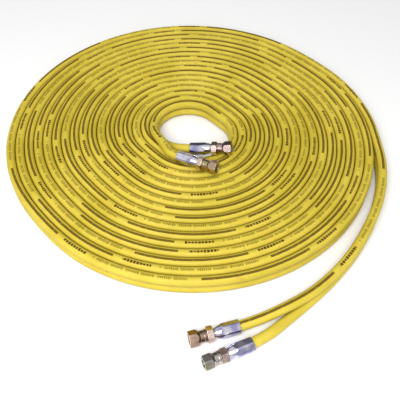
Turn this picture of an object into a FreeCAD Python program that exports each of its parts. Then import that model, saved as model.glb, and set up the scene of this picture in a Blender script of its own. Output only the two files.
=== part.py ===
import FreeCAD, Part
import math
import os

import Sketcher

# Coiled twin-line control hose with four swivel fittings, in millimetres.
#
# Two hoses lie one on the other, joined by a thin web, and the pair is wound on
# edge into one oval spiral. Each end of each hose has a socket, a nipple and a
# swivel nut that is kept on by a ring of wire. The return line is the lower
# hose of the pair and the supply line the upper one.
#
# Frame: origin on the ground under the middle of the coil, +Z up, the outer
# tail and its two fittings towards -Y, the tail leaving the coil at +X.

Vector = FreeCAD.Vector

doc = FreeCAD.newDocument("TwinLineHose")

# Driving sizes

SIZES = [
    # Hose section
    ("hose_od", 11.1, "outer diameter of the yellow cover, 7/16 inch"),
    ("braid_od", 8.6, "outer diameter of the textile braid"),
    ("tube_od", 7.2, "outer diameter of the inner tube"),
    ("tube_bore", 4.8, "bore of the inner tube, 3/16 inch"),
    ("lay_gap", 0.2, "gap between two hoses that lie beside or on each other"),
    ("web_width", 3.0, "width of the web between the two hoses"),
    # Spiral
    ("half_turns", 33, "half turns of the spiral"),
    ("first_radius", 44.0, "radius of the innermost half turn"),
    ("lead_share", 27.6, "part of the first half turn that the leads take the place of, in degrees"),
    ("oval_stretch", 22.0, "straight run in each half turn, which makes the coil oval"),
    ("oval_heading", 48.0, "turn of the oval's long axis from X towards -Y, in degrees"),
    # Rest
    ("rest_gap", 0.3, "gap under a fitting that lies on the ground or on the coil"),
    # Socket
    ("socket_length", 27.0, "length of the socket"),
    ("socket_grip_length", 17.0, "length of the socket's six-sided part"),
    ("socket_flats", 14.0, "socket across flats"),
    ("socket_round", 15.2, "diameter that rounds the socket's corners"),
    ("socket_nose_od", 9.8, "diameter of the socket's nose"),
    ("socket_land_length", 3.0, "length of the threaded land in the nose"),
    ("socket_land_bore", 7.0, "diameter of the threaded land"),
    ("socket_wall", 0.6, "wall round the end of the hose, where the nose begins to close in"),
    ("socket_edge", 0.5, "chamfer at the socket's mouth"),
    ("hose_end_gap", 0.5, "gap between the cut hose and the socket's land"),
    # Nipple
    ("stem_length", 25.0, "length of the stem in the hose and the land"),
    ("nipple_bore", 3.2, "bore of the nipple"),
    ("collar_length", 6.3, "length of the six-sided collar"),
    ("collar_flats", 14.3, "collar across flats, 9/16 inch"),
    ("collar_chamfer", 0.9, "chamfer on the collar's corners"),
    ("neck_od", 9.2, "diameter of the neck that carries the nut"),
    ("neck_length", 7.4, "length of the neck from the collar to the cone"),
    ("cone_half_angle", 37.0, "half angle of the sealing cone, in degrees"),
    ("cone_tip_od", 4.4, "diameter of the flat at the cone's tip"),
    # Retaining wire
    ("wire_diameter", 1.3, "diameter of the retaining wire"),
    ("wire_place", 3.6, "distance of the wire from the collar's face"),
    # Swivel nut
    ("nut_end_gap", 0.4, "gap between the collar and the nut"),
    ("nut_neck_length", 6.6, "length of the nut's round rear"),
    ("nut_neck_od", 12.4, "diameter of the nut's round rear"),
    ("nut_ring_length", 2.5, "length of the ring at the rear edge"),
    ("nut_ring_od", 13.2, "diameter of the ring at the rear edge"),
    ("nut_hex_length", 11.0, "length of the nut's six-sided part"),
    ("nut_flats", 14.3, "nut across flats, 9/16 inch"),
    ("nut_shoulder_length", 3.4, "length of the slope between the nut's round rear and its corners"),
    ("nut_chamfer", 0.7, "chamfer on the nut's corners at its mouth"),
    ("swivel_clearance", 0.15, "radial clearance between nut and neck"),
    ("thread_bore", 9.9, "minor diameter of the 7/16-20 thread"),
    ("thread_depth", 7.3, "depth of the threaded bore, down to the cone's tip"),
    ("thread_entry", 0.7, "chamfer at the nut's mouth"),
]

sheet = doc.addObject("Spreadsheet::Sheet", "Sizes")
for row, (alias, value, meaning) in enumerate(SIZES, start=1):
    sheet.set(f"A{row}", meaning)
    sheet.set(f"B{row}", str(value))
    sheet.setAlias(f"B{row}", alias)
doc.recompute()


def size(alias):
    """Return the value of one named cell."""
    return float(sheet.get(alias))


def cell(formula):
    """Turn the aliases of a formula into references to the sheet."""
    for alias, _, _ in sorted(SIZES, key=lambda entry: -len(entry[0])):
        formula = formula.replace("<" + alias + ">", "Sizes." + alias)
    return formula


hose_radius = size("hose_od") / 2
hose_pitch = size("hose_od") + size("lay_gap")
lower = hose_radius
upper = hose_radius + hose_pitch
coil_top = upper + hose_radius
grip_depth = size("socket_length") - size("socket_land_length") - size("hose_end_gap")

# Places of the four fittings

# The outer fittings lie on the corners of their nuts and collars, the front inner
# one rests on the coil, and the rear inner one rises out of the coil's middle.
lying = max(size("nut_flats"), size("collar_flats")) / math.sqrt(3) + size("rest_gap")
resting = coil_top + size("socket_round") / 2 + size("rest_gap")
rising = coil_top + 2.6

# Each fitting is placed by the middle of its socket's mouth, by the heading of
# its axis on the ground and by its rise, both in degrees, and by a roll.
FITTING_PLACES = {
    "return_inner": (Vector(-2.8, -42.2, rising), -9.9, 11.0, 12.0),
    "supply_inner": (Vector(-17.8, -60.9, resting), -25.4, 3.2, 40.0),
    "supply_outer": (Vector(47.2, -273.2, lying), -164.1, 0.0, 18.0),
    "return_outer": (Vector(58.9, -291.4, lying), -157.0, 0.0, 5.0),
}


def fitting_axis(name):
    """Return the direction from a fitting's socket to its nut."""
    _, heading, rise, _ = FITTING_PLACES[name]
    flat = math.cos(math.radians(rise))
    return Vector(flat * math.cos(math.radians(heading)),
                  flat * math.sin(math.radians(heading)),
                  math.sin(math.radians(rise)))


def fitting_placement(name):
    """Return the placement that carries a piece from its own axis to its fitting."""
    mouth, _, _, roll = FITTING_PLACES[name]
    turn = FreeCAD.Rotation(Vector(0, 0, 1), fitting_axis(name))
    return FreeCAD.Placement(mouth, turn * FreeCAD.Rotation(Vector(0, 0, 1), roll))


def on_axis(name, along):
    """Return the point of a fitting's axis that lies this far past its socket's mouth."""
    return FITTING_PLACES[name][0] + fitting_axis(name) * along


# Routes of the hoses

def around(centre, radius, angle):
    """Return the point of a level circle at an angle in degrees."""
    swing = math.radians(angle)
    return centre + Vector(radius * math.cos(swing), radius * math.sin(swing), 0)


def turn_about(centre, radius, first, last):
    """Return the arc of a level circle between two angles."""
    points = [around(centre, radius, angle) for angle in (first, (first + last) / 2, last)]
    return Part.Arc(*points).toShape()


def spiral_edges(height):
    """Return the arcs and straight runs of the oval spiral at one height."""
    centre = stretch * -0.5 + Vector(0, 0, height)
    edges = []
    begin = 180 - size("lead_share")
    bend = 90 - size("oval_heading")
    for turn in range(int(size("half_turns"))):
        side = 1 if turn % 2 == 0 else -1
        radius = size("first_radius") + turn * hose_pitch / 2
        edges.append(turn_about(centre, side * radius, begin, bend))
        leave = around(centre, side * radius, bend)
        centre += stretch * side
        arrive = around(centre, side * radius, bend)
        edges.append(Part.LineSegment(leave, arrive).toShape())
        edges.append(turn_about(centre, side * radius, bend, 0))
        centre += Vector(side * -hose_pitch / 2, 0, 0)
        begin = 180
    return edges


def rounded_edges(points):
    """Return straight runs joined by tangent arcs, each as large as its runs allow."""
    edges = []
    last = points[0]
    for before, corner, after in zip(points, points[1:], points[2:]):
        to_corner = corner - before
        from_corner = after - corner
        reach = 0.45 * min(to_corner.Length, from_corner.Length)
        half_turn = to_corner.getAngle(from_corner) / 2
        radius = reach / math.tan(half_turn)
        radii.append(radius)
        enter = to_corner.normalize()
        leave = from_corner.normalize()
        start = corner - enter * reach
        end = corner + leave * reach
        inward = (leave - enter).normalize()
        middle = corner + inward * (radius / math.cos(half_turn) - radius)
        edges.append(Part.LineSegment(last, start).toShape())
        edges.append(Part.Arc(start, middle, end).toShape())
        last = end
    edges.append(Part.LineSegment(last, points[-1]).toShape())
    return edges


radii = []
long_axis = math.radians(-size("oval_heading"))
stretch = Vector(math.cos(long_axis), math.sin(long_axis), 0) * size("oval_stretch")
lead_first_run = 5.0


def lead_start(height):
    """Return the first two points of a lead, the second in line with the coil's first arc."""
    centre = stretch * -0.5 + Vector(0, 0, height)
    begin = around(centre, size("first_radius"), 180 - size("lead_share"))
    ahead = around(Vector(), lead_first_run, 270 - size("lead_share"))
    return [begin, begin + ahead]


# Inner leads, from the start of the spiral to the sockets in the middle
return_lead = lead_start(lower) + [
    Vector(-50.6, 13.3, lower),
    Vector(-47.6, 1.0, 6.6),
    Vector(-41.8, -11.5, 9.6),
    Vector(-34.8, -22.4, 13.6),
    Vector(-26.0, -31.8, 18.0),
    on_axis("return_inner", -10.0),
    on_axis("return_inner", grip_depth),
]
supply_lead = lead_start(upper) + [
    Vector(-51.0, 13.2, 17.4),
    Vector(-51.2, 0.5, 20.2),
    Vector(-48.6, -12.0, 24.0),
    Vector(-43.6, -23.4, 27.4),
    Vector(-37.8, -34.2, 29.2),
    Vector(-32.2, -45.2, 29.8),
    on_axis("supply_inner", -10.0),
    on_axis("supply_inner", grip_depth),
]

# Outer tails: the pair stays together, then parts and rolls flat to the sockets in front
spiral_end = spiral_edges(0)[-1].Vertexes[-1].Point
paired_tail = [
    (spiral_end.x, spiral_end.y),
    (spiral_end.x, -30.0),
    (231.6, -54.0),
    (227.0, -82.0),
    (218.2, -110.0),
    (205.6, -138.0),
    (189.3, -165.8),
    (170.0, -193.5),
    (146.5, -219.5),
]
return_tail = [Vector(x, y, lower) for x, y in paired_tail] + [
    Vector(122.0, -242.5, 5.6),
    Vector(97.0, -263.2, 5.9),
    on_axis("return_outer", -12.0),
    on_axis("return_outer", grip_depth),
]
supply_tail = [Vector(x, y, upper) for x, y in paired_tail] + [
    Vector(121.0, -241.0, 16.8),
    Vector(94.0, -256.0, 15.3),
    on_axis("supply_outer", -11.0),
    on_axis("supply_outer", grip_depth),
]

PARTS = []


def keep(thing, label):
    """Give an object its label and list it as a sub-part."""
    thing.Label = label
    PARTS.append(thing)
    return thing


def swept_ring(label, edges, outer, bore):
    """Add a tube of a ring-shaped section along a row of edges."""
    path = Part.Wire(edges)
    start = path.Edges[0].valueAt(path.Edges[0].FirstParameter)
    along = path.Edges[0].tangentAt(path.Edges[0].FirstParameter)
    rims = [Part.Wire(Part.Circle(start, along, diameter / 2).toShape()) for diameter in (outer, bore)]
    section = Part.Face(rims, "Part::FaceMakerBullseye")
    tube = doc.addObject("Part::Feature", label)
    tube.Shape = path.makePipe(section)
    expected = section.Area * path.Length
    print(f"{label}: length {path.Length:.1f}, volume {tube.Shape.Volume:.0f} of {expected:.0f}")
    return keep(tube, label)


def add_hose(line, lead, height, tail):
    """Add the cover in three stretches, and the braid and the tube in one each."""
    lead_edges = rounded_edges(lead[::-1])
    coil_edges = spiral_edges(height)
    tail_edges = rounded_edges(tail)
    swept_ring(line + "_cover_lead", lead_edges, size("hose_od"), size("braid_od"))
    swept_ring(line + "_cover_coil", coil_edges, size("hose_od"), size("braid_od"))
    swept_ring(line + "_cover_tail", tail_edges, size("hose_od"), size("braid_od"))
    whole = lead_edges + coil_edges + tail_edges
    swept_ring(line + "_braid", whole, size("braid_od"), size("tube_od"))
    swept_ring(line + "_inner_tube", whole, size("tube_od"), size("tube_bore"))


def add_web():
    """Add the web that joins the two covers along the spiral and the paired tail."""
    middle = (lower + upper) / 2
    tail = rounded_edges([Vector(x, y, middle) for x, y in paired_tail])
    paired_corners = len(paired_tail) - 3
    path = Part.Wire(spiral_edges(middle) + tail[:2 * paired_corners])
    start = lead_start(middle)[0]
    outward = around(Vector(), 1, 180 - size("lead_share"))

    # The web's flat middle and its sloping sides each touch both covers
    aside = size("web_width") / 2
    touch = 0.8 * aside
    slope = touch / math.sqrt(hose_radius ** 2 - touch ** 2)
    flat_height = size("lay_gap") / 2
    touch_height = flat_height + hose_radius - math.sqrt(hose_radius ** 2 - touch ** 2)
    flat_aside = touch - (touch_height - flat_height) / slope
    side_height = touch_height + (aside - touch) * slope
    lower_edge = [(-aside, -side_height), (-flat_aside, -flat_height), (flat_aside, -flat_height),
                  (aside, -side_height)]
    upper_edge = [(-across, -height) for across, height in lower_edge]
    corners = [start + outward * across + Vector(0, 0, height) for across, height in lower_edge + upper_edge]
    section = Part.Face(Part.makePolygon(corners + corners[:1]))
    web = doc.addObject("Part::Feature", "joining_web")
    web.Shape = path.makePipe(section)
    keep(web, "joining_web")


# Turned and six-sided pieces of the fittings

def origin_plane(body, role):
    """Return one of a body's own origin planes."""
    return next(item for item in body.Origin.OriginFeatures if item.Role == role)


def turned(body, name, profile):
    """Revolve a closed profile, given as formulas of radius and height, about the body's Z."""
    sketch = body.newObject("Sketcher::SketchObject", name + "_profile")
    sketch.AttachmentSupport = [(origin_plane(body, "XZ_Plane"), "")]
    sketch.MapMode = "FlatFace"
    values = [[float(sheet_value(formula)) for formula in point] for point in profile]
    count = len(profile)
    for index in range(count):
        start = values[index]
        end = values[(index + 1) % count]
        sketch.addGeometry(Part.LineSegment(Vector(*start, 0), Vector(*end, 0)), False)
    for index in range(count):
        sketch.addConstraint(Sketcher.Constraint("Coincident", index, 2, (index + 1) % count, 1))
    for index, point in enumerate(profile):
        for kind, value, formula in zip(("DistanceX", "DistanceY"), values[index], point):
            place = sketch.addConstraint(Sketcher.Constraint(kind, -1, 1, index, 1, value))
            sketch.setExpression(f"Constraints[{place}]", cell(formula))
    turn = body.newObject("PartDesign::Revolution", name)
    turn.Profile = sketch
    turn.ReferenceAxis = (sketch, ["V_Axis"])
    turn.Angle = 360
    return turn


def sheet_value(formula):
    """Work out a formula once, to draw a sketch close to where its sizes put it."""
    probe.setExpression("Length", cell(formula))
    probe.recompute()
    return probe.Length


def six_flats(body, name, flats, start, length, outside):
    """Cut six flats round a body's axis, over a stretch of its length."""
    sketch = body.newObject("Sketcher::SketchObject", name + "_outline")
    sketch.AttachmentSupport = [(origin_plane(body, "XY_Plane"), "")]
    sketch.MapMode = "FlatFace"
    sketch.setExpression("AttachmentOffset.Base.z", cell(start))
    corner = sheet_value(flats) / math.sqrt(3)
    points = [Vector(corner * math.cos(math.radians(60 * k)), corner * math.sin(math.radians(60 * k)), 0)
              for k in range(6)]
    for k in range(6):
        sketch.addGeometry(Part.LineSegment(points[k], points[(k + 1) % 6]), False)
    circle = Part.Circle(Vector(0, 0, 0), Vector(0, 0, 1), corner)
    guide = sketch.addGeometry(circle, True)
    rim = sketch.addGeometry(Part.Circle(Vector(0, 0, 0), Vector(0, 0, 1), 2 * corner), False)
    for k in range(6):
        sketch.addConstraint(Sketcher.Constraint("Coincident", k, 2, (k + 1) % 6, 1))
        sketch.addConstraint(Sketcher.Constraint("PointOnObject", k, 1, guide))
    for k in range(1, 6):
        sketch.addConstraint(Sketcher.Constraint("Equal", 0, k))
    sketch.addConstraint(Sketcher.Constraint("PointOnObject", 0, 1, -1))
    sketch.addConstraint(Sketcher.Constraint("Coincident", guide, 3, -1, 1))
    sketch.addConstraint(Sketcher.Constraint("Coincident", rim, 3, -1, 1))
    across = sketch.addConstraint(Sketcher.Constraint("Radius", guide, corner))
    sketch.setExpression(f"Constraints[{across}]", cell(f"({flats}) / sqrt(3)"))
    around = sketch.addConstraint(Sketcher.Constraint("Radius", rim, 2 * corner))
    sketch.setExpression(f"Constraints[{around}]", cell(outside))
    cut = body.newObject("PartDesign::Pocket", name)
    cut.Profile = sketch
    cut.Type = "Length"
    cut.setExpression("Length", cell(length))
    cut.Reversed = True
    return cut


probe = doc.addObject("Part::Box", "Probe")

COLLAR_FACE = "<socket_length> + <collar_length>"
NUT_REAR = COLLAR_FACE + " + <nut_end_gap>"
NUT_SHOULDER = NUT_REAR + " + <nut_neck_length>"
NUT_MOUTH = NUT_SHOULDER + " + <nut_hex_length>"
WIRE_HEIGHT = COLLAR_FACE + " + <wire_place>"
NUT_BORE_RADIUS = "<neck_od> / 2 + <swivel_clearance>"
RING_RADIUS = "<neck_od> / 2 + <swivel_clearance> / 2"


def add_socket(end):
    """Add the chromed socket that grips the hose's cover."""
    body = doc.addObject("PartDesign::Body", end + "_socket")
    hose_radius_cell = "<hose_od> / 2"
    corner = "<socket_round> / 2"
    turned(body, end + "_socket_turned", [
        (hose_radius_cell, "0"),
        (corner + " - <socket_edge>", "0"),
        (corner, "<socket_edge>"),
        (corner, "<socket_grip_length>"),
        (hose_radius_cell + " + <socket_wall>", "<socket_length> - <socket_land_length>"),
        ("<socket_nose_od> / 2", "<socket_length>"),
        ("<socket_land_bore> / 2", "<socket_length>"),
        ("<socket_land_bore> / 2", "<socket_length> - <socket_land_length>"),
        (hose_radius_cell, "<socket_length> - <socket_land_length>"),
    ])
    body.Tip = six_flats(body, end + "_socket_flats", "<socket_flats>", "0", "<socket_length>",
                         "<socket_round>")
    return body


def add_nipple(end):
    """Add the nipple: a stem in the hose, a collar, a neck with a groove, and the cone."""
    body = doc.addObject("PartDesign::Body", end + "_nipple")
    bore = "<nipple_bore> / 2"
    stem = "<tube_bore> / 2"
    corner = "<collar_flats> / sqrt(3)"
    neck = "<neck_od> / 2"
    cone_foot = COLLAR_FACE + " + <neck_length>"
    cone_rise = "(<neck_od> - <cone_tip_od>) / 2 / tan(<cone_half_angle>)"
    groove = "<wire_diameter> / 2 + <swivel_clearance>"
    groove_floor = RING_RADIUS + " - " + groove.replace(" + ", " - ")
    turned(body, end + "_nipple_turned", [
        (bore, "<socket_length> - <stem_length>"),
        (stem, "<socket_length> - <stem_length>"),
        (stem, "<socket_length> - <socket_land_length>"),
        ("<socket_land_bore> / 2", "<socket_length> - <socket_land_length>"),
        ("<socket_land_bore> / 2", "<socket_length>"),
        (corner + " - <collar_chamfer>", "<socket_length>"),
        (corner, "<socket_length> + <collar_chamfer> / 2"),
        (corner, COLLAR_FACE + " - <collar_chamfer> / 2"),
        (corner + " - <collar_chamfer>", COLLAR_FACE),
        (neck, COLLAR_FACE),
        (neck, WIRE_HEIGHT + " - (" + groove + ")"),
        (groove_floor, WIRE_HEIGHT + " - (" + groove + ")"),
        (groove_floor, WIRE_HEIGHT + " + " + groove),
        (neck, WIRE_HEIGHT + " + " + groove),
        (neck, cone_foot),
        ("<cone_tip_od> / 2", cone_foot + " + " + cone_rise),
        (bore, cone_foot + " + " + cone_rise),
    ])
    body.Tip = six_flats(body, end + "_nipple_flats", "<collar_flats>", "<socket_length>", "<collar_length>",
                         "<collar_flats>")
    return body


def add_nut(end):
    """Add the swivel nut, open at both ends, with a groove for the wire behind the thread."""
    body = doc.addObject("PartDesign::Body", end + "_swivel_nut")
    corner = "<nut_flats> / sqrt(3)"
    groove_wall = RING_RADIUS + " + <wire_diameter> / 2"
    turned(body, end + "_nut_turned", [
        (NUT_BORE_RADIUS, NUT_REAR),
        ("<nut_ring_od> / 2", NUT_REAR),
        ("<nut_ring_od> / 2", NUT_REAR + " + <nut_ring_length>"),
        ("<nut_neck_od> / 2", NUT_REAR + " + <nut_ring_length>"),
        ("<nut_neck_od> / 2", NUT_SHOULDER),
        (corner, NUT_SHOULDER + " + <nut_shoulder_length>"),
        (corner, NUT_MOUTH + " - <nut_chamfer> / 2"),
        (corner + " - <nut_chamfer>", NUT_MOUTH),
        ("<thread_bore> / 2 + <thread_entry>", NUT_MOUTH),
        ("<thread_bore> / 2", NUT_MOUTH + " - <thread_entry>"),
        ("<thread_bore> / 2", NUT_MOUTH + " - <thread_depth>"),
        (groove_wall, NUT_MOUTH + " - <thread_depth>"),
        (groove_wall, WIRE_HEIGHT + " - <wire_diameter> / 2"),
        (NUT_BORE_RADIUS, WIRE_HEIGHT + " - <wire_diameter> / 2"),
    ])
    body.Tip = six_flats(body, end + "_nut_flats", "<nut_flats>", NUT_SHOULDER, "<nut_hex_length>",
                         "<nut_flats>")
    return body


def add_wire(end):
    """Add the ring of wire that keeps the nut on its neck."""
    ring = doc.addObject("Part::Torus", end + "_retaining_wire")
    ring.setExpression("Radius1", cell(RING_RADIUS))
    ring.setExpression("Radius2", cell("<wire_diameter> / 2"))
    return ring


def add_fitting(end):
    """Add one hose end: socket, nipple, nut and wire, in their place."""
    place = fitting_placement(end)
    for build in (add_socket, add_nipple, add_nut):
        piece = build(end)
        piece.Placement = place
        keep(piece, piece.Name)
    ring = add_wire(end)
    along = fitting_axis(end) * sheet_value(WIRE_HEIGHT).Value
    ring.Placement = FreeCAD.Placement(place.Base + along, place.Rotation)
    keep(ring, ring.Name)


add_hose("return", return_lead, lower, return_tail)
add_hose("supply", supply_lead, upper, supply_tail)
add_web()
for end_name in FITTING_PLACES:
    add_fitting(end_name)
doc.removeObject(probe.Name)
doc.recompute()

# Checks and files

print("cord radii:", " ".join(f"{radius:.0f}" for radius in radii))
for thing in doc.Objects:
    if "Invalid" in thing.State or "Error" in thing.State:
        raise RuntimeError(f"{thing.Name} failed: {thing.State}")
os.makedirs("parts", exist_ok=True)
for part in PARTS:
    if part.Shape.isNull() or not part.Shape.isValid():
        raise RuntimeError(f"{part.Label} has no valid shape")
    part.Shape.exportStep(f"parts/{part.Label}.step")
print(len(PARTS), "sub-parts")
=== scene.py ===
"""Coiled twin-line control hose: two yellow hoses wound on edge, with four swivel fittings.

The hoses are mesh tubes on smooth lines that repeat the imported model's routes. The fittings
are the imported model's own pieces with plated finishes, and the threads are added in the nuts.
"""

import logging
import math
from dataclasses import dataclass
from enum import Enum
from typing import Optional, Union

import bpy
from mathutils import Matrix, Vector, noise


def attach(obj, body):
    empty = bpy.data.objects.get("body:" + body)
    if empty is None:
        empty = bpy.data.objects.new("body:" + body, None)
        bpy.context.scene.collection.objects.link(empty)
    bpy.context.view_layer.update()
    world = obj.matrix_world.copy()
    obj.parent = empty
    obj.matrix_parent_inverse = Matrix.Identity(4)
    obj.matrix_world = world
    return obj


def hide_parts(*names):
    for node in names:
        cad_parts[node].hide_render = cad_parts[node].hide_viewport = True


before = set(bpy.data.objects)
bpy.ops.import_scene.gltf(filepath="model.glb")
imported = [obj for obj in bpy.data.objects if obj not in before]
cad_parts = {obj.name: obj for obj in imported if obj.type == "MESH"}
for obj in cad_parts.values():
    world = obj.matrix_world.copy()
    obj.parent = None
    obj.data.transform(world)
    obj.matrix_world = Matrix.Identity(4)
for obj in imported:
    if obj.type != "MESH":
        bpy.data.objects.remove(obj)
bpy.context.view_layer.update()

log = logging.getLogger("twin_hose")
MM = 0.001
UP = Vector((0.0, 0.0, 1.0))
Colour = tuple[float, float, float, float]


def tone(red: float, green: float, blue: float) -> Colour:
    """Turn a colour as a screen shows it, from 0 to 255, into linear light.

    Args:
        red: Red as shown.
        green: Green as shown.
        blue: Blue as shown.

    Returns:
        The linear colour with full alpha.
    """
    shown = [channel / 255 for channel in (red, green, blue)]
    linear = [((c + 0.055) / 1.055) ** 2.4 if c > 0.04045 else c / 12.92 for c in shown]
    return linear[0], linear[1], linear[2], 1.0


class Field:
    """A shader socket that carries a number. Arithmetic on it adds Math nodes."""

    def __init__(self, paint: "Paint", socket: bpy.types.NodeSocket) -> None:
        """Keep the socket and the paint whose nodes it belongs to."""
        self.paint = paint
        self.socket = socket

    def _math(self, operation: str, *terms: "Term") -> "Field":
        """Add a Math node over the terms, in their order."""
        return self.paint.add("ShaderNodeMath", {"operation": operation}, dict(enumerate(terms)))

    def __add__(self, other: "Term") -> "Field":
        """Add a number to this one."""
        return self._math("ADD", self, other)

    def __mul__(self, other: "Term") -> "Field":
        """Multiply this by a number."""
        return self._math("MULTIPLY", self, other)

    def __truediv__(self, other: "Term") -> "Field":
        """Divide this by a number."""
        return self._math("DIVIDE", self, other)

    def __mod__(self, other: "Term") -> "Field":
        """Return what is left of this after whole steps of a number."""
        return self._math("FLOORED_MODULO", self, other)

    def __neg__(self) -> "Field":
        """Return this with the other sign."""
        return self * -1.0

    def __abs__(self) -> "Field":
        """Return this without its sign."""
        return self._math("ABSOLUTE", self)

    def floor(self) -> "Field":
        """Return the whole number below this one."""
        return self._math("FLOOR", self)

    def above(self, limit: float) -> "Field":
        """Return 1 where this is above a limit and 0 elsewhere."""
        return self._math("GREATER_THAN", self, limit)

    def below(self, limit: float) -> "Field":
        """Return 1 where this is below a limit and 0 elsewhere."""
        return self._math("LESS_THAN", self, limit)

    def between(self, start: float, end: float) -> "Field":
        """Return 1 where this lies between two limits and 0 elsewhere."""
        return self.above(start) * self.below(end)

    def wave(self) -> "Field":
        """Return the sine of this angle."""
        return self._math("SINE", self)

    def ramp(self, start: float, end: float, low: float = 0.0, high: float = 1.0) -> "Field":
        """Go smoothly from one value to another while this goes from start to end.

        Args:
            start: Value of this where the ramp begins.
            end: Value of this where the ramp ends.
            low: Result up to the start.
            high: Result from the end on.

        Returns:
            The ramp's result.
        """
        sockets = {"Value": self, "From Min": start, "From Max": end, "To Min": low, "To Max": high}
        return self.paint.add("ShaderNodeMapRange", {"interpolation_type": "SMOOTHSTEP"}, sockets)


Term = Union[Field, float]


@dataclass(frozen=True)
class Relief:
    """A bump: what a height of 1 stands for, in metres, and the share of it that is used."""

    depth: float
    strength: float


class Paint:
    """One material in the making, with the nodes that vary it."""

    COLOUR_FACTOR, COLOUR_A, COLOUR_B, COLOUR_RESULT = 0, 6, 7, 2
    INPUT_NAMES = {"ior": "IOR", "specular_level": "Specular IOR Level"}

    def __init__(self, name: str) -> None:
        """Start a material that has only its surface shader.

        Args:
            name: Name of the material.
        """
        self.material = bpy.data.materials.new(name)
        self.material.use_nodes = True
        self.tree = self.material.node_tree
        self.surface = next(n for n in self.tree.nodes if n.type == "BSDF_PRINCIPLED")

    def add(self, kind: str, settings: Optional[dict] = None, sockets: Optional[dict] = None,
            output: Union[int, str] = 0) -> Field:
        """Add a node, set it up and link it.

        Args:
            kind: Blender's type of the node.
            settings: The node's own settings.
            sockets: Values or fields for its inputs, by name or number.
            output: Which output is returned.

        Returns:
            The chosen output.
        """
        node = self.tree.nodes.new(kind)
        for key, value in (settings or {}).items():
            setattr(node, key, value)
        for key, value in (sockets or {}).items():
            self.feed(node.inputs[key], value)
        return Field(self, node.outputs[output])

    def feed(self, socket: bpy.types.NodeSocket, value: object) -> None:
        """Link a field to an input, or set the input's own value.

        Args:
            socket: The input.
            value: A field, a number, a colour or a vector.
        """
        if isinstance(value, Field):
            self.tree.links.new(value.socket, socket)
        else:
            socket.default_value = value

    def mix(self, factor: Term, first: Union[Field, Colour], second: Union[Field, Colour]) -> Field:
        """Mix two colours.

        Args:
            factor: Share of the second colour.
            first: First colour.
            second: Second colour.

        Returns:
            The mixed colour.
        """
        sockets = {self.COLOUR_FACTOR: factor, self.COLOUR_A: first, self.COLOUR_B: second}
        return self.add("ShaderNodeMix", {"data_type": "RGBA"}, sockets, self.COLOUR_RESULT)

    def place(self) -> Field:
        """Return the place on the piece, which moves with it."""
        return self.add("ShaderNodeTexCoord", output="Object")

    def dot(self, first: Field, second: object) -> Field:
        """Return the dot product of two vectors.

        Args:
            first: First vector.
            second: Second vector, as a field or as three numbers.

        Returns:
            Their product.
        """
        sockets = {0: first, 1: second}
        return self.add("ShaderNodeVectorMath", {"operation": "DOT_PRODUCT"}, sockets, "Value")

    def grain(self, size: float, where: Field, detail: float = 2.0) -> Field:
        """Return soft noise between 0 and 1.

        Args:
            size: Rough size of one patch, in metres.
            where: The place that it is read at, in metres.
            detail: How many finer layers it has.

        Returns:
            The noise.
        """
        sockets = {"Vector": where, "Scale": 1.0 / size, "Detail": detail}
        return self.add("ShaderNodeTexNoise", {}, sockets)

    def bump(self, height: Field, relief: Relief, base: Optional[Field] = None) -> Field:
        """Return a normal that follows a height.

        Args:
            height: Height between 0 and 1.
            relief: How deep and how strong the bump is.
            base: Normal that it starts from.

        Returns:
            The bumped normal.
        """
        sockets = {"Height": height, "Distance": relief.depth, "Strength": relief.strength}
        if base is not None:
            sockets["Normal"] = base
        return self.add("ShaderNodeBump", {}, sockets)

    def dress(self, **inputs: object) -> bpy.types.Material:
        """Set the surface shader's inputs and return the material.

        Args:
            **inputs: Values or fields by the input's name, with _ for a space.

        Returns:
            The finished material.
        """
        for key, value in inputs.items():
            name = self.INPUT_NAMES.get(key, key.replace("_", " ").title())
            self.feed(self.surface.inputs[name], value)
        return self.material


@dataclass(frozen=True)
class Patches:
    """Soft patches, seen where noise of a size in metres rises from one value to another."""

    size: float
    start: float
    end: float
    detail: float = 2.0
    share: float = 1.0

    def on(self, paint: Paint, where: Field) -> Field:
        """Return how much of a patch there is at a place, from 0 to the patches' share."""
        return paint.grain(self.size, where, self.detail).ramp(self.start, self.end, 0.0, self.share)


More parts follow.
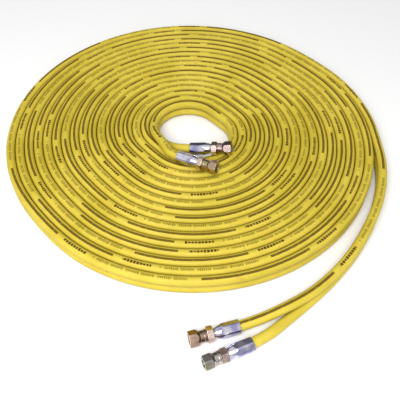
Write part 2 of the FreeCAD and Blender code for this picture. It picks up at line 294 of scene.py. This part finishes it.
@dataclass(frozen=True)
class Layline:
    """The line of ink along the top of a hose: a long dash, fine ticks and a bold block.

    The lengths are in millimetres along the hose. The half widths are shares of the hose's
    radius, and the other shares are of a pitch, of full ink or of the tallest bar.
    """

    period: float = 292.0
    shift: float = 189.0
    dash_end: float = 122.0
    dash_ink: float = 0.88
    half_width: float = 0.29
    soft_rim: float = 0.06
    rim_wander: float = 0.10
    ticks_start: float = 134.0
    ticks_end: float = 240.0
    tick_pitch: float = 2.0
    tick_share: float = 0.64
    tick_ink: float = 0.72
    word_pitch: float = 17.0
    word_share: float = 0.85
    block_start: float = 249.0
    block_end: float = 281.0
    block_pitch: float = 3.6
    block_share: float = 0.80
    bar_half_width: float = 0.35
    bar_lowest: float = 0.6
    bar_core: float = 0.85
    across_reach: float = 6.0 * MM
    wear: Patches = Patches(4.0 * MM, 0.30, 0.42, share=0.30)
    rim_grain: float = 2.5 * MM

    def ink(self, paint: Paint, along: Field, across: Field, lift: Field) -> Field:
        """Return where the ink lies, from 0 to 1.

        Args:
            paint: The cover's material.
            along: Place along the hose in millimetres.
            across: Place across the ink's line, as a share of the hose's radius.
            lift: Height over the hose's middle, as a share of its radius.

        Returns:
            Share of ink.
        """
        local = (along + self.shift) % self.period
        word = (local % self.word_pitch).below(self.word_pitch * self.word_share)
        ticks = self._bars(paint, along, across, self.tick_pitch, self.tick_share) * word
        ticks = ticks * local.between(self.ticks_start, self.ticks_end)
        block = self._bars(paint, along, across, self.block_pitch, self.block_share)
        block = block * local.between(self.block_start, self.block_end)
        strip = paint.add("ShaderNodeCombineXYZ", {}, {0: along * MM, 1: across * self.across_reach})
        edge = paint.grain(self.rim_grain, strip) * self.rim_wander
        inside = (abs(across) + edge).ramp(self.half_width, self.half_width + self.soft_rim, 1.0, 0.0)
        dash = local.below(self.dash_end) * inside
        marks = dash * self.dash_ink + ticks * self.tick_ink + block
        kept = self.wear.on(paint, strip) + (1.0 - self.wear.share)
        return marks * kept * lift.above(0.0)

    def _bars(self, paint: Paint, along: Field, across: Field, pitch: float, share: float) -> Field:
        """Return a row of upright bars of uneven height.

        Args:
            paint: The cover's material.
            along: Place along the hose in millimetres.
            across: Place across the ink's line, as a share of the hose's radius.
            pitch: Distance from bar to bar in millimetres.
            share: Width of a bar as a share of the pitch.

        Returns:
            1 on a bar and 0 beside it.
        """
        step = along / pitch
        chance = paint.add("ShaderNodeTexWhiteNoise", {"noise_dimensions": "1D"}, {"W": step.floor()})
        lowest = self.bar_lowest * self.bar_half_width
        height = chance * (self.bar_half_width - lowest) + lowest
        return (step % 1.0).below(share) * (abs(across) / height).ramp(self.bar_core, 1.0, 1.0, 0.0)


@dataclass(frozen=True)
class CoverFinish:
    """The hose's smooth yellow cover, a little mottled, with painted shade towards its underside and in
    the grooves between rows, and the layline on a printed one.
    """

    name: str
    layline: Optional[Layline]
    lit: Colour = tone(210, 190, 70)
    green: Colour = tone(184, 166, 40)
    warm: Colour = tone(202, 168, 60)
    tan: Colour = tone(180, 144, 82)
    ink: Colour = tone(84, 58, 6)
    # Painted shade: the dark brown mixed into the cover towards its underside and in the grooves between
    # hoses.
    painted_shade: Colour = tone(104, 78, 0)
    green_patches: Patches = Patches(45.0 * MM, 0.35, 0.70, share=0.55)
    warm_patches: Patches = Patches(12.0 * MM, 0.45, 0.75, 3.0, 0.35)
    tan_patches: Patches = Patches(6.0 * MM, 0.62, 0.74, 4.0, 0.40)
    # Painted shade on the underside: from the cover's height to the share of painted shade.
    underside_shade_ramp: tuple[float, float, float, float] = (-0.55, 0.60, 0.0, 0.30)
    # Painted shade in the grooves: the occlusion reach, and the ramp from it to the share of painted
    # shade.
    groove_reach: float = 6.0 * MM
    groove_shade_ramp: tuple[float, float, float, float] = (0.15, 0.70, 0.65, 0.0)
    rough_patch: float = 8.0 * MM
    roughness: float = 0.40
    rough_swing: float = 0.16
    ink_roughness: float = 0.25
    skin_grain: float = 0.9 * MM
    skin: Relief = Relief(0.05 * MM, 0.6)
    swell_grain: float = 9.0 * MM
    swell: Relief = Relief(0.4 * MM, 0.5)

    def build(self) -> bpy.types.Material:
        """Make the material from the hose's own lengthwise and crosswise places."""
        paint = Paint(self.name)
        lay = paint.add("ShaderNodeAttribute", {"attribute_name": "lay"}, output="Vector")
        along = paint.add("ShaderNodeSeparateXYZ", {}, {0: lay})
        across = Field(paint, along.socket.node.outputs[1])
        lift = Field(paint, along.socket.node.outputs[2])
        place = paint.place()
        colour: Union[Field, Colour] = self.lit
        for patches, tint in ((self.green_patches, self.green), (self.warm_patches, self.warm),
                              (self.tan_patches, self.tan)):
            colour = paint.mix(patches.on(paint, place), colour, tint)
        # Painted shade: the colour darkens towards the hose's underside and lower flanks.
        colour = paint.mix((-lift).ramp(*self.underside_shade_ramp), colour, self.painted_shade)
        # Painted shade in the grooves between hoses, placed where ambient occlusion finds neighbours
        # close.
        open_sky = paint.add("ShaderNodeAmbientOcclusion", {"samples": 6},
                             {"Distance": self.groove_reach}, "AO")
        colour = paint.mix(open_sky.ramp(*self.groove_shade_ramp), colour, self.painted_shade)
        rough = paint.grain(self.rough_patch, place) * self.rough_swing + self.roughness
        if self.layline is not None:
            ink = self.layline.ink(paint, along, across, lift)
            colour = paint.mix(ink, colour, self.ink)
            rough = rough + ink * self.ink_roughness
        normal = paint.bump(paint.grain(self.swell_grain, place, 1.0), self.swell)
        normal = paint.bump(paint.grain(self.skin_grain, place), self.skin, normal)
        return paint.dress(base_color=colour, roughness=rough, normal=normal,
                           specular_level=0.2, ior=1.5)


class Plating(Enum):
    """The platings on the fittings, each with its two tints, its roughness and its wear."""

    CHROME = (tone(216, 214, 222), tone(160, 158, 200), 0.07, 0.15)
    ZINC = (tone(222, 200, 188), tone(190, 162, 156), 0.15, 0.45)
    DULL_ZINC = (tone(186, 168, 164), tone(164, 142, 140), 0.16, 0.50)
    COPPER_TINGED = (tone(166, 142, 124), tone(148, 122, 106), 0.16, 0.60)
    OLIVE_TINGED = (tone(186, 168, 122), tone(178, 152, 132), 0.17, 0.50)
    GREY = (tone(188, 184, 182), tone(172, 162, 134), 0.13, 0.45)
    STEEL = (tone(170, 168, 164), tone(120, 116, 112), 0.35, 0.40)


@dataclass(frozen=True)
class MetalFinish:
    """A plated metal with worn edges, faint turning lines round its axis and stained patches."""

    name: str
    plating: Plating
    mouth: Vector
    axis: Vector
    tint_patches: Patches = Patches(9.0 * MM, 0.35, 0.68, 1.0)
    stain: Colour = tone(92, 80, 62)
    stain_patches: Patches = Patches(1.1 * MM, 0.54, 0.66, 4.0)
    bare: Colour = tone(238, 232, 220)
    edge_reach: float = 0.6 * MM
    edge_ramp: tuple[float, float, float, float] = (0.90, 0.995, 1.0, 0.0)
    edge_patches: Patches = Patches(1.5 * MM, 0.3, 0.6)
    edge_share: float = 0.7
    smear_size: float = 4.0 * MM
    smear_roughness: float = 0.12
    smear_offset: float = 0.03
    stain_roughness: float = 0.2
    line_pitch: float = 0.18 * MM
    line: Relief = Relief(0.004 * MM, 0.35)
    wave_size: float = 1.2 * MM
    wave: Relief = Relief(0.008 * MM, 0.4)

    def build(self) -> bpy.types.Material:
        """Make the material in the axes of its own fitting."""
        first, second, roughness, wear = self.plating.value
        paint = Paint(self.name)
        place = paint.place()
        from_mouth = paint.add("ShaderNodeVectorMath", {"operation": "SUBTRACT"},
                               {0: place, 1: tuple(self.mouth)})
        along = paint.dot(from_mouth, tuple(self.axis))
        colour = paint.mix(self.tint_patches.on(paint, place), first, second)
        soil = self.stain_patches.on(paint, place)
        colour = paint.mix(soil * wear, colour, self.stain)
        soft_edge = paint.add("ShaderNodeBevel", {"samples": 6}, {"Radius": self.edge_reach})
        flat = paint.add("ShaderNodeNewGeometry", output="True Normal")
        edge = paint.dot(soft_edge, flat).ramp(*self.edge_ramp) * self.edge_patches.on(paint, place)
        colour = paint.mix(edge * (wear * self.edge_share), colour, self.bare)
        smear = paint.grain(self.smear_size, place, 3.0) * (self.smear_roughness * wear)
        rough = smear + (roughness - self.smear_offset) + soil * (self.stain_roughness * wear)
        lines = (along * (2 * math.pi / self.line_pitch)).wave() * 0.5 + 0.5
        normal = paint.bump(lines, self.line, soft_edge)
        normal = paint.bump(paint.grain(self.wave_size, place, 3.0), self.wave, normal)
        return paint.dress(base_color=colour, metallic=1.0, roughness=rough, normal=normal)


@dataclass(frozen=True)
class WebFinish:
    """The thin web of the cover's own rubber between the two hoses, coloured darker than the cover, with
    darker patches.
    """

    name: str = "web_in_the_groove"
    clean: Colour = tone(150, 132, 24)
    dirty: Colour = tone(96, 84, 20)
    dirt_patches: Patches = Patches(10.0 * MM, 0.35, 0.65, 3.0)
    roughness: float = 0.55
    dirt_roughness: float = 0.2
    skin_grain: float = 1.0 * MM
    skin: Relief = Relief(0.05 * MM, 0.5)

    def build(self) -> bpy.types.Material:
        """Make the material."""
        paint = Paint(self.name)
        place = paint.place()
        dirt = self.dirt_patches.on(paint, place)
        # The whole web is darker than the cover, and darker still where the noise patches rise.
        colour = paint.mix(dirt, self.clean, self.dirty)
        rough = dirt * self.dirt_roughness + self.roughness
        normal = paint.bump(paint.grain(self.skin_grain, place), self.skin)
        return paint.dress(base_color=colour, roughness=rough, normal=normal)


@dataclass(frozen=True)
class OvalSpiral:
    """The coil's line: half turns whose two arcs have a short straight run between them."""

    half_turns: int = 33
    first_radius: float = 44.0
    row_pitch: float = 11.3
    straight: float = 22.0
    heading: float = 48.0
    lead_steps: int = 2
    long_steps: int = 10
    short_steps: int = 3

    def _stretch(self) -> Vector:
        """Return the straight run of a half turn to the right."""
        turn = math.radians(-self.heading)
        return Vector((math.cos(turn), math.sin(turn), 0.0)) * self.straight

    @staticmethod
    def _around(centre: Vector, radius: float, angle: float) -> Vector:
        """Return the point of a level circle at an angle in degrees."""
        turn = math.radians(angle)
        return centre + Vector((math.cos(turn), math.sin(turn), 0.0)) * radius

    def _corners(self, centre: Vector, radius: float, first: float, last: float,
                 steps: int) -> list[Vector]:
        """Return the corners outside an arc, so that a smooth line through their sides follows it.

        Args:
            centre: Centre of the arc.
            radius: Its radius, negative for one that starts on the other side.
            first: Angle where it starts, in degrees.
            last: Angle where it ends.
            steps: How many corners it has.

        Returns:
            The corners in order.
        """
        step = (last - first) / steps
        reach = radius / math.cos(math.radians(step / 2))
        return [self._around(centre, reach, first + (k + 0.5) * step) for k in range(steps)]

    def points(self, height: float) -> list[Vector]:
        """Return the whole coil's control points at one height.

        Args:
            height: Height of the hose's middle over the ground.

        Returns:
            The points in millimetres, from the inside of the coil outwards. The leads stand
            for the first ones.
        """
        stretch = self._stretch()
        centre = stretch * -0.5 + Vector((0.0, 0.0, height))
        points: list[Vector] = []
        bend = 90 - self.heading
        for turn in range(self.half_turns):
            side = 1 if turn % 2 == 0 else -1
            radius = self.first_radius + turn * self.row_pitch / 2
            points += self._corners(centre, side * radius, 180, bend, self.long_steps)
            centre = centre + stretch * side
            points += self._corners(centre, side * radius, bend, 0, self.short_steps)
            centre = centre - Vector((side * self.row_pitch / 2, 0.0, 0.0))
        return points[self.lead_steps:]


@dataclass(frozen=True)
class FittingPlace:
    """Where a fitting lies: the middle of its socket's mouth, its heading and its rise."""

    end: str
    mouth: Vector
    heading: float
    rise: float

    @property
    def axis(self) -> Vector:
        """Return the direction from the socket to the nut."""
        level = math.cos(math.radians(self.rise))
        turn = math.radians(self.heading)
        return Vector((level * math.cos(turn), level * math.sin(turn), math.sin(math.radians(self.rise))))

    def on_axis(self, along: float) -> Vector:
        """Return the point of the axis that lies this far past the mouth, in millimetres."""
        return self.mouth + self.axis * along


RETURN_INNER = FittingPlace("return_inner", Vector((-2.8, -42.2, 25.0)), -9.9, 11.0)
SUPPLY_INNER = FittingPlace("supply_inner", Vector((-17.8, -60.9, 30.3)), -25.4, 3.2)
SUPPLY_OUTER = FittingPlace("supply_outer", Vector((47.2, -273.2, 8.556)), -164.1, 0.0)
RETURN_OUTER = FittingPlace("return_outer", Vector((58.9, -291.4, 8.556)), -157.0, 0.0)


@dataclass
class HoseLine:
    """One of the two hoses, from the socket in the coil's middle to the one in front.

    Lengths are in millimetres. The ink's line wanders a little to each side of the top. The
    swing is in radians, and its pace in cells of the noise per metre.
    """

    line: str
    height: float
    inner: FittingPlace
    outer: FittingPlace
    lead: list[Vector]
    tail: list[Vector]
    finish: CoverFinish
    lead_run: float = 10.0
    tail_run: float = 12.0
    grip: float = 23.5
    outer_diameter: float = 11.1
    real_length: float = 15130.0
    sides: int = 16
    spans: int = 5
    least_step: float = 0.1
    ink_swing: float = 0.16
    ink_pace: float = 4.0

    def route(self, spiral: OvalSpiral) -> list[Vector]:
        """Return the hose's control points.

        Args:
            spiral: The coil that it runs through.

        Returns:
            The points in metres, from the inner end to the outer one.
        """
        inside = [self.inner.on_axis(self.grip), self.inner.on_axis(-self.lead_run)] + self.lead
        outside = self.tail + [self.outer.on_axis(-self.tail_run), self.outer.on_axis(self.grip)]
        return [point * MM for point in inside + spiral.points(self.height) + outside]

    def smooth_line(self, spiral: OvalSpiral) -> list[Vector]:
        """Read the smooth line that the control points pull into shape.

        Args:
            spiral: The coil that it runs through.

        Returns:
            Close points along the line, in metres.
        """
        points = self.route(spiral)
        curve = bpy.data.curves.new(self.line + "_route", "CURVE")
        curve.dimensions = "3D"
        spline = curve.splines.new("NURBS")
        spline.points.add(len(points) - 1)
        for knot, point in zip(spline.points, points):
            knot.co = (*point, 1.0)
        spline.order_u = 3
        spline.use_endpoint_u = True
        spline.resolution_u = self.spans
        holder = bpy.data.objects.new(self.line + "_route", curve)
        bpy.context.scene.collection.objects.link(holder)
        read = bpy.data.meshes.new_from_object(holder)
        line = [vertex.co.copy() for vertex in read.vertices]
        bpy.data.meshes.remove(read)
        bpy.data.objects.remove(holder)
        bpy.data.curves.remove(curve)
        kept = line[:1]
        for point in line[1:]:
            if (point - kept[-1]).length > self.least_step * MM:
                kept.append(point)
        return kept

    def build(self, spiral: OvalSpiral) -> None:
        """Args:
            spiral: The coil that it runs through.
        """
        line = self.smooth_line(spiral)
        mesh = bpy.data.meshes.new(self.line + "_hose")
        places, faces, lay = self._tube(line)
        mesh.from_pydata(places, [], faces)
        mesh.shade_smooth()
        layer = mesh.attributes.new("lay", "FLOAT_VECTOR", "POINT")
        layer.data.foreach_set("vector", [number for entry in lay for number in entry])
        hose = bpy.data.objects.new(self.line + "_hose", mesh)
        bpy.context.scene.collection.objects.link(hose)
        mesh.materials.append(self.finish.build())
        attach(hose, "hose")
        solids = [f"{self.line}_cover_{stretch}" for stretch in ("lead", "coil", "tail")]
        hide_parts(*solids, self.line + "_braid", self.line + "_inner_tube")
        length = sum((b - a).length for a, b in zip(line, line[1:]))
        log.info("%s hose: %.3f m, %d stations", self.line, length, len(line))

    def _tube(self, line: list[Vector]) -> tuple[list[Vector], list[list[int]], list[Vector]]:
        """Work out the tube's mesh and where each of its points lies on the hose.

        Args:
            line: The hose's middle line.

        Returns:
            The places, the faces, and for each place its way along the hose in millimetres,
            its way across the ink's line and its height, the last two as shares of the radius.
        """
        radius = self.outer_diameter / 2 * MM
        places: list[Vector] = []
        lay: list[Vector] = []
        along = 0.0
        for index, point in enumerate(line):
            behind = line[max(index - 1, 0)]
            tangent = (line[min(index + 1, len(line) - 1)] - behind).normalized()
            aside = tangent.cross(UP).normalized()
            lift = aside.cross(tangent)
            along += (point - behind).length
            swing = self.ink_swing * noise.noise(Vector((along * self.ink_pace, self.height, 0.0)))
            for k in range(self.sides):
                angle = 2 * math.pi * k / self.sides
                places.append(point + (aside * math.sin(angle) + lift * math.cos(angle)) * radius)
                turned = angle - swing
                lay.append(Vector((along / MM, math.sin(turned), math.cos(turned))))
        faces = []
        for ring in range(len(line) - 1):
            base = ring * self.sides
            for k in range(self.sides):
                after = (k + 1) % self.sides
                faces.append([base + k, base + after, base + self.sides + after, base + self.sides + k])
        last = (len(line) - 1) * self.sides
        faces.append(list(range(self.sides))[::-1])
        faces.append([last + k for k in range(self.sides)])
        return places, faces, lay


@dataclass
class SwivelFitting:
    """One hose end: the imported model's socket, nipple, nut and wire, with the nut's thread.

    The thread's lengths are in millimetres. Its flanks reach a share of the pitch to each side.
    """

    place: FittingPlace
    nut_plating: Plating
    collar_plating: Plating = Plating.ZINC
    thread_start: float = 44.5
    thread_end: float = 50.4
    thread_pitch: float = 1.27
    thread_radius: float = 4.97
    thread_height: float = 0.42
    flank_share: float = 0.46
    crest_half_width: float = 0.08
    steps_per_turn: int = 40
    fade_steps: int = 12

    def dress(self) -> None:
        """Give the four pieces their finishes."""
        finishes = {
            "socket": Plating.CHROME,
            "nipple": self.collar_plating,
            "swivel_nut": self.nut_plating,
            "retaining_wire": Plating.STEEL,
        }
        for piece, plating in finishes.items():
            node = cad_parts[f"{self.place.end}_{piece}"]
            finish = MetalFinish(f"{self.place.end}_{piece}_metal", plating,
                                 self.place.mouth * MM, self.place.axis)
            material = finish.build()
            for slot in node.material_slots:
                slot.material = material
            log.info("%s: %s", node.name, plating.name.lower())

    def build_thread(self) -> None:
        """Wind the thread's ridge round the wall of the nut's bore. It turns with its nut."""
        axis = self.place.axis
        aside = axis.cross(UP).normalized()
        lift = aside.cross(axis)
        turns = (self.thread_end - self.thread_start - self.thread_pitch) / self.thread_pitch
        count = int(turns * self.steps_per_turn)
        half = self.thread_pitch * self.flank_share
        places = []
        for step in range(count + 1):
            angle = 2 * math.pi * step / self.steps_per_turn
            outwards = aside * math.cos(angle) + lift * math.sin(angle)
            middle = self.thread_start + self.thread_pitch * (step / self.steps_per_turn + 0.5)
            fade = min(1.0, step / self.fade_steps, (count - step) / self.fade_steps)
            crest = self.thread_radius - self.thread_height * fade
            for along, radius in ((middle - half, self.thread_radius),
                                  (middle - self.crest_half_width, crest),
                                  (middle + self.crest_half_width, crest),
                                  (middle + half, self.thread_radius)):
                places.append((self.place.on_axis(along) + outwards * radius) * MM)
        faces = []
        for step in range(count):
            base = 4 * step
            faces += [[base + k, base + k + 1, base + k + 5, base + k + 4] for k in range(3)]
            faces.append([base + 3, base, base + 4, base + 7])
        mesh = bpy.data.meshes.new(self.place.end + "_nut_thread")
        mesh.from_pydata(places, [], faces)
        thread = bpy.data.objects.new(self.place.end + "_nut_thread", mesh)
        bpy.context.scene.collection.objects.link(thread)
        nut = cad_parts[self.place.end + "_swivel_nut"]
        mesh.materials.append(nut.material_slots[0].material)
        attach(thread, self.place.end + "_nut")
        log.info("%s: %d turns of thread", thread.name, round(turns))


@dataclass
class TwinHose:
    """The two hoses of the coil and the web between them. Points are in millimetres."""

    spiral: OvalSpiral
    pitch: float = 11.3
    lower: float = 5.55
    begin: tuple[float, float] = (-48.67, 24.13)
    paired_tail: tuple[tuple[float, float], ...] = (
        (232.16, -30.0), (231.6, -54.0), (227.0, -82.0), (218.2, -110.0), (205.6, -138.0),
        (189.3, -165.8), (170.0, -193.5), (146.5, -219.5),
    )

    def _start(self, height: float) -> Vector:
        """Return the lead's point next to the coil."""
        return Vector((*self.begin, height))

    def _pair(self, height: float) -> list[Vector]:
        """Return the tail's points up to where the two hoses part."""
        return [Vector((x, y, height)) for x, y in self.paired_tail]

    def return_line(self) -> HoseLine:
        """Return the lower hose."""
        lead = [Vector((-26.0, -31.8, 18.0)), Vector((-34.8, -22.4, 13.6)), Vector((-41.8, -11.5, 9.6)),
                Vector((-47.6, 1.0, 6.6)), Vector((-50.6, 13.3, self.lower)), self._start(self.lower)]
        tail = self._pair(self.lower) + [Vector((122.0, -242.5, 5.6)), Vector((97.0, -263.2, 5.9))]
        finish = CoverFinish("yellow_cover_plain", None)
        return HoseLine("return", self.lower, RETURN_INNER, RETURN_OUTER, lead, tail, finish)

    def supply_line(self) -> HoseLine:
        """Return the upper hose, which carries the layline."""
        upper = self.lower + self.pitch
        lead = [Vector((-32.2, -45.2, 29.8)), Vector((-37.8, -34.2, 29.2)), Vector((-43.6, -23.4, 27.4)),
                Vector((-48.6, -12.0, 24.0)), Vector((-51.2, 0.5, 20.2)), Vector((-51.0, 13.2, 17.4)),
                self._start(upper)]
        tail = self._pair(upper) + [Vector((121.0, -241.0, 16.8)), Vector((94.0, -256.0, 15.3))]
        finish = CoverFinish("yellow_cover_printed", Layline())
        return HoseLine("supply", upper, SUPPLY_INNER, SUPPLY_OUTER, lead, tail, finish, tail_run=11.0)

    def build(self) -> None:
        """Make both hoses and dress the web."""
        for line in (self.return_line(), self.supply_line()):
            line.build(self.spiral)
        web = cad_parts["joining_web"]
        material = WebFinish().build()
        for slot in web.material_slots:
            slot.material = material


@dataclass(frozen=True)
class Softbox:
    """A square soft light that faces the coil. Place and width are in metres, power in watts."""

    name: str
    place: Vector
    width: float
    power: float

    def hang(self) -> None:
        """Hang the light in the scene."""
        data = bpy.data.lights.new(self.name, "AREA")
        data.size = self.width
        data.energy = self.power
        light = bpy.data.objects.new(self.name, data)
        light.location = self.place
        light.rotation_euler = (-self.place).to_track_quat("-Z", "Y").to_euler()
        bpy.context.scene.collection.objects.link(light)


@dataclass
class Studio:
    """The camera at the photograph's angle, a pale floor and soft light.

    Places are in metres, the lens and the sensor in millimetres and angles in degrees. The
    sky's strength follows the direction that is looked in, from the low side to the high one.
    """

    camera_place: Vector
    lens: float = 48.96
    sensor: float = 36.0
    look_down: float = 49.74
    floor_size: float = 12.0
    floor_colour: Colour = tone(250, 250, 250)
    sky_colour: Colour = tone(255, 255, 255)
    sky_from: tuple[float, float, float] = (0.0, -0.45, 0.89)
    sky_ramp: tuple[float, float, float, float] = (0.18, 0.80, 0.12, 0.93)
    lights: tuple[Softbox, ...] = (
        Softbox("key_light", Vector((-0.15, -0.75, 0.80)), 0.55, 8.8),
        Softbox("rear_light", Vector((-0.8, 0.9, 1.3)), 0.8, 1.5),
    )

    def build(self) -> None:
        """Set the camera, the floor and the lights."""
        self._camera()
        self._floor()
        self._sky()
        for light in self.lights:
            light.hang()
        bpy.context.scene.view_settings.view_transform = "Standard"

    def _camera(self) -> None:
        """Set the camera where the photograph was taken from."""
        data = bpy.data.cameras.new("camera")
        data.lens = self.lens
        data.sensor_width = self.sensor
        camera = bpy.data.objects.new("camera", data)
        camera.location = self.camera_place
        camera.rotation_euler = (math.radians(90 - self.look_down), 0.0, 0.0)
        bpy.context.scene.collection.objects.link(camera)
        bpy.context.scene.camera = camera

    def _floor(self) -> None:
        """Lay the pale floor."""
        half = self.floor_size / 2
        mesh = bpy.data.meshes.new("floor")
        corners = [(-half, -half, 0.0), (half, -half, 0.0), (half, half, 0.0), (-half, half, 0.0)]
        mesh.from_pydata(corners, [], [(0, 1, 2, 3)])
        floor = bpy.data.objects.new("floor", mesh)
        bpy.context.scene.collection.objects.link(floor)
        finish = Paint("pale_floor").dress(base_color=self.floor_colour, roughness=0.9, specular_level=0.1)
        mesh.materials.append(finish)

    def _sky(self) -> None:
        """Surround the stage with soft light that is brightest above and in front."""
        world = bpy.data.worlds.new("studio")
        world.use_nodes = True
        nodes = world.node_tree.nodes
        links = world.node_tree.links
        background = nodes["Background"]
        background.inputs["Color"].default_value = self.sky_colour
        place = nodes.new("ShaderNodeTexCoord")
        facing = nodes.new("ShaderNodeVectorMath")
        facing.operation = "DOT_PRODUCT"
        facing.inputs[1].default_value = self.sky_from
        ramp = nodes.new("ShaderNodeMapRange")
        for socket, value in zip(("From Min", "From Max", "To Min", "To Max"), self.sky_ramp):
            ramp.inputs[socket].default_value = value
        links.new(place.outputs["Generated"], facing.inputs[0])
        links.new(facing.outputs["Value"], ramp.inputs["Value"])
        links.new(ramp.outputs[0], background.inputs["Strength"])
        bpy.context.scene.world = world


def main() -> None:
    """Build the stage, the hoses and the fittings, and report each piece."""
    logging.basicConfig(level=logging.INFO, format="%(name)s: %(message)s")
    Studio(Vector((0.0086, -0.5228, 0.4950))).build()
    TwinHose(OvalSpiral()).build()
    fittings = [
        SwivelFitting(RETURN_INNER, Plating.DULL_ZINC),
        SwivelFitting(SUPPLY_INNER, Plating.OLIVE_TINGED),
        SwivelFitting(SUPPLY_OUTER, Plating.COPPER_TINGED),
        SwivelFitting(RETURN_OUTER, Plating.GREY),
    ]
    for fitting in fittings:
        fitting.dress()
        fitting.build_thread()


if __name__ == "__main__":
    main()
